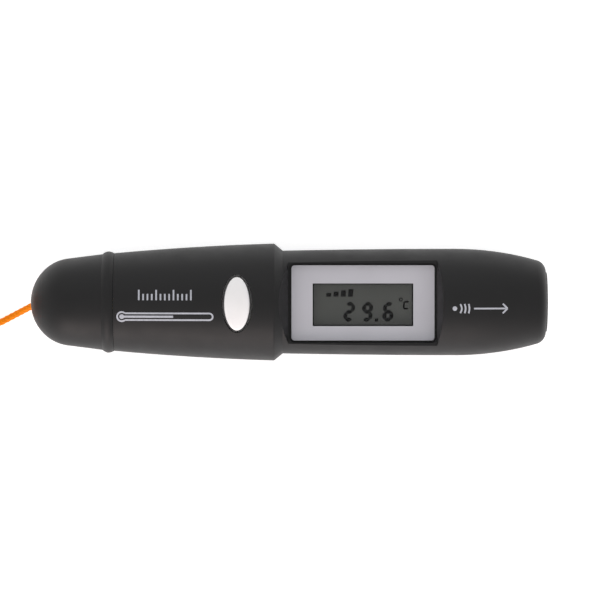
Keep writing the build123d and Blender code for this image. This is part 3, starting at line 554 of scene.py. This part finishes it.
# Tick scale over the grip
ticks = bmesh.new()
for tick in range(TICK_COUNT):
    tick_x = TICK_START + (TICK_END - TICK_START) * tick / (TICK_COUNT - 1)
    tick_height = TICK_HEIGHTS[0] if tick % 4 == 0 else TICK_HEIGHTS[1]
    stroke(ticks, (tick_x, TICK_BASE), (tick_x, TICK_BASE + tick_height))
finish_mark("scale_mark", ticks)

# Lying thermometer: bulb, stem outline and filled column
symbol = bmesh.new()
ring_middle, stem_middle = BULB_R + STROKE / 2, STEM_HALF_WIDTH + STROKE / 2
stem_start = BULB_X + (ring_middle**2 - stem_middle**2) ** 0.5
opening = degrees(asin(stem_middle / ring_middle))
disc(symbol, BULB_X, SYMBOL_Y, COLUMN_R)
arc_band(symbol, BULB_X, SYMBOL_Y, BULB_R, BULB_R + STROKE, opening, 360 - opening)
for side in (-1, 1):
    stem_y = SYMBOL_Y + side * stem_middle
    stroke(symbol, (stem_start, stem_y), (STEM_END, stem_y))
arc_band(symbol, STEM_END, SYMBOL_Y, STEM_HALF_WIDTH, STEM_HALF_WIDTH + STROKE, -90, 90)
stroke(symbol, (COLUMN_START, SYMBOL_Y), (COLUMN_END, SYMBOL_Y), COLUMN_WIDTH)
finish_mark("thermometer_mark", symbol)

# Rays towards the nose: a source, three waves and an arrow
rays = bmesh.new()
disc(rays, SOURCE_X, RAYS_Y, SOURCE_R)
for wave_r in WAVE_RADII:
    spread = degrees(asin(WAVE_HALF_HEIGHT / (wave_r + STROKE)))
    arc_band(rays, SOURCE_X, RAYS_Y, wave_r, wave_r + STROKE, -spread, spread)
stroke(rays, (ARROW_START, RAYS_Y), (ARROW_TIP - STROKE, RAYS_Y))
for side in (-1, 1):
    stroke(rays, (ARROW_TIP, RAYS_Y), (ARROW_TIP - ARROW_HEAD, RAYS_Y + side * ARROW_HEAD))
finish_mark("ray_mark", rays)

# ---------------------------------------------------------------- display
film_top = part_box("lcd_polariser")[1].z / MM
SEGMENTS = {
    "a": ((0, 1), (1, 1)),
    "b": ((1, 1), (1, 0.5)),
    "c": ((1, 0.5), (1, 0)),
    "d": ((0, 0), (1, 0)),
    "e": ((0, 0.5), (0, 0)),
    "f": ((0, 1), (0, 0.5)),
    "g": ((0, 0.5), (1, 0.5)),
}
LIT = {2: "abged", 9: "abcdfg", 6: "acdefg"}


def slanted(x, y, base_y):
    """Lean a point of the display to the right."""
    return x + (y - base_y) * SEGMENT_SLANT, y


def lcd_stroke(bm, start, end, width, base_y, gap=SEGMENT_GAP):
    """One lit segment with pointed ends."""
    a, b = Vector(start), Vector(end)
    along = (b - a).normalized()
    across = Vector((-along.y, along.x)) * width / 2
    a, b = a + along * gap, b - along * gap
    point = along * width / 2
    outline = [a, a + point + across, b - point + across, b, b - point - across, a + point - across]
    outline = [slanted(p.x, p.y, base_y) for p in outline]
    prism(bm, outline, film_top, film_top + SEGMENT_HEIGHT)


def digit(bm, number, x, y):
    """A seven-segment digit with its lower left corner at x, y."""
    inner = DIGIT_STROKE / 2
    for name in LIT[number]:
        ends = [
            (x + inner + u * (DIGIT_WIDTH - 2 * inner), y + inner + v * (DIGIT_HEIGHT - 2 * inner))
            for u, v in SEGMENTS[name]
        ]
        lcd_stroke(bm, ends[0], ends[1], DIGIT_STROKE, y)


def bar(bm, middle, size, slant=0.0):
    """Dark rectangle of the display, leaned to the right by slant."""
    outline = []
    for u, v in ((-0.5, -0.5), (0.5, -0.5), (0.5, 0.5), (-0.5, 0.5)):
        rise = v * size[1]
        outline.append((middle[0] + u * size[0] + rise * slant, middle[1] + rise))
    prism(bm, outline, film_top, film_top + SEGMENT_HEIGHT)


reading = bmesh.new()
for number, digit_x in DIGITS:
    digit(reading, number, digit_x, DIGIT_BASE)
bar(reading, (POINT_X, DIGIT_BASE + POINT_SIZE / 2), (POINT_SIZE, POINT_SIZE), SEGMENT_SLANT)
for level, level_height in enumerate(LEVEL_HEIGHTS):
    level_middle = (LEVEL_X + level * LEVEL_PITCH, LEVEL_Y + level_height / 2)
    bar(reading, level_middle, (LEVEL_WIDTH, level_height), SEGMENT_SLANT)

# Degree ring and unit
for i in range(DEGREE_SIDES):
    ring = []
    for r, k in ((DEGREE_R / 2, i), (DEGREE_R / 2, i + 1), (DEGREE_R, i + 1), (DEGREE_R, i)):
        angle = 2 * pi * k / DEGREE_SIDES
        ring.append((DEGREE_X + r * cos(angle), DEGREE_Y + r * sin(angle)))
    prism(reading, ring, film_top, film_top + SEGMENT_HEIGHT)
unit = ((UNIT_RIGHT, UNIT_TOP), (UNIT_LEFT, UNIT_TOP), (UNIT_LEFT, UNIT_BOTTOM), (UNIT_RIGHT, UNIT_BOTTOM))
for start, end in zip(unit, unit[1:]):
    lcd_stroke(reading, start, end, UNIT_STROKE, UNIT_BOTTOM, gap=0.0)

# Dark frame round the display's glass, as two upright and two lying bars: partly the display's own black
# mask, partly a painted shadow cast by the edge of the printed border's opening onto the film below
mask_and_shadow_length, mask_and_shadow_height = MASK_AND_SHADOW_INSIDE
for side in (-1, 1):
    upright_x = MASK_AND_SHADOW_CENTRE[0] + side * (mask_and_shadow_length + MASK_AND_SHADOW_WIDTH) / 2
    lying_y = MASK_AND_SHADOW_CENTRE[1] + side * (mask_and_shadow_height + MASK_AND_SHADOW_WIDTH) / 2
    bar(reading, (upright_x, MASK_AND_SHADOW_CENTRE[1]), (MASK_AND_SHADOW_WIDTH, mask_and_shadow_height))
    bar(reading, (MASK_AND_SHADOW_CENTRE[0], lying_y), (mask_and_shadow_length + 2 * MASK_AND_SHADOW_WIDTH, MASK_AND_SHADOW_WIDTH))
# The segments and the dark frame with its painted shadow go into one object
segments = mesh_object("lcd_segments_and_shadow_frame", reading, segment_and_shadow_ink, smooth=False)
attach(segments, "housing")

# ---------------------------------------------------------------- floor and light
bpy.context.scene.view_settings.view_transform = "Standard"

floor_bm = bmesh.new()
corners = [(u * FLOOR_HALF, v * FLOOR_HALF) for u, v in ((-1, -1), (1, -1), (1, 1), (-1, 1))]
floor_bm.faces.new([floor_bm.verts.new((x, y, 0)) for x, y in corners])
floor_look = surface("floor", (0.86, 0.86, 0.86), 0.7, tone=0.01, tone_feature=400.0, grain_depth=0.0)
floor_shader = floor_look.node_tree.nodes["Principled BSDF"]
floor_shader.inputs["Emission Color"].default_value = (1, 1, 1, 1)
floor_shader.inputs["Emission Strength"].default_value = FLOOR_GLOW
mesh_object("floor", floor_bm, floor_look, smooth=False)

world = bpy.data.worlds.new("studio")
world.use_nodes = True
sky = world.node_tree.nodes["Background"]
sky.inputs["Color"].default_value = (1, 1, 1, 1)
sky.inputs["Strength"].default_value = SKY_STRENGTH
bpy.context.scene.world = world


def soft_light(name, place, size, power, color=(1, 1, 1)):
    """Square soft light that faces the object. Place and size are in mm."""
    data = bpy.data.lights.new(name, "AREA")
    data.size = size * MM
    data.energy = power
    data.color = color
    light = bpy.data.objects.new(name, data)
    light.location = Vector(place) * MM
    light.rotation_mode = "QUATERNION"
    light.rotation_quaternion = Vector(place).to_track_quat("Z", "Y")
    bpy.context.scene.collection.objects.link(light)


soft_light("front_softbox", (-120, -600, 230), 460, 2.2, (1.0, 0.86, 0.83))
soft_light("back_softbox", (-60, 560, 420), 520, 0.3, (0.95, 0.96, 1.0))
